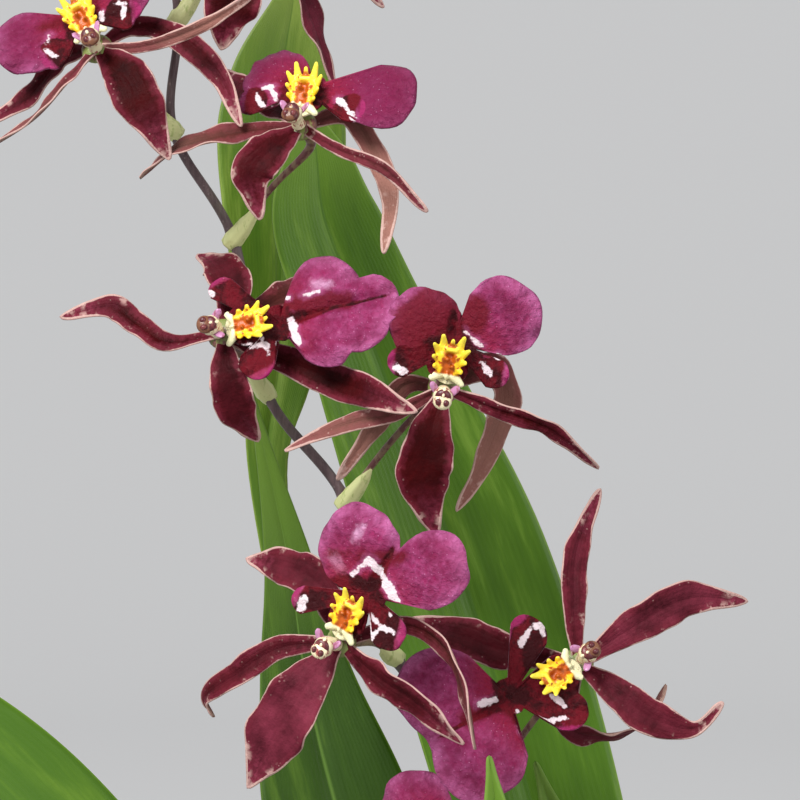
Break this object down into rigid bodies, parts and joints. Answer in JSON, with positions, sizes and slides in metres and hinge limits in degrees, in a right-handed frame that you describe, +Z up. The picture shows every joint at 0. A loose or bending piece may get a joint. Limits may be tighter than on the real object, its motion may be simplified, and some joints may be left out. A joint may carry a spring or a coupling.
{
  "type": "potted oncidium orchid",
  "caption": "Potted orchid: a leaning spike of dark red blooms with magenta lips and yellow crests, long strap leaves and pseudobulbs bedded in bark in a plain clay pot.",
  "frame": {"origin": "centre of the pot's flat underside", "axes": "+Z up along the plant; the blooms face -Y; +X is to the viewer's right"},
  "size_m": [0.319, 0.218, 0.5303],
  "materials": {
    "pot_clay": "matt unglazed clay",
    "bark": "rough damp bark",
    "bulb_skin": "ribbed satin",
    "leaf": "satin with fine lengthwise veins",
    "stem": "satin",
    "bud": "satin",
    "tepal": "velvety with pale margins",
    "lip": "veined satin with a fine sparkle",
    "crest": "waxy",
    "column": "waxy"
  },
  "bodies": {
    "root": {"pot": "pot_clay", "bark_fill": "bark", "pseudobulbs": "bulb_skin", "leaf_tall_front": "leaf", "leaf_tall_back": "leaf", "leaf_left_narrow": "leaf", "leaf_left_arching": "leaf", "leaf_right_long": "leaf", "leaf_right_back": "leaf", "leaf_left_back": "leaf", "leaf_front_right": "leaf", "leaf_sheath_front": "leaf", "leaf_sheath_inner": "leaf", "spike": "stem", "bud_1": "bud", "bud_2": "bud", "bud_3": "bud", "bloom_1_tepals": "tepal", "bloom_1_lip": "lip", "bloom_1_crest": "crest", "bloom_1_column": "column", "bloom_2_tepals": "tepal", "bloom_2_lip": "lip", "bloom_2_crest": "crest", "bloom_2_column": "column", "bloom_3_tepals": "tepal", "bloom_3_lip": "lip", "bloom_3_crest": "crest", "bloom_3_column": "column", "bloom_4_tepals": "tepal", "bloom_4_lip": "lip", "bloom_4_crest": "crest", "bloom_4_column": "column", "bloom_5_tepals": "tepal", "bloom_5_lip": "lip", "bloom_5_crest": "crest", "bloom_5_column": "column", "bloom_6_tepals": "tepal", "bloom_6_lip": "lip", "bloom_6_crest": "crest", "bloom_6_column": "column", "bloom_7_tepals": "tepal", "bloom_7_lip": "lip", "bloom_7_crest": "crest", "bloom_7_column": "column", "bloom_8_tepals": "tepal", "bloom_8_lip": "lip", "bloom_8_crest": "crest", "bloom_8_column": "column", "bloom_9_tepals": "tepal", "bloom_9_lip": "lip", "bloom_9_crest": "crest", "bloom_9_column": "column"}
  },
  "joints": []
}
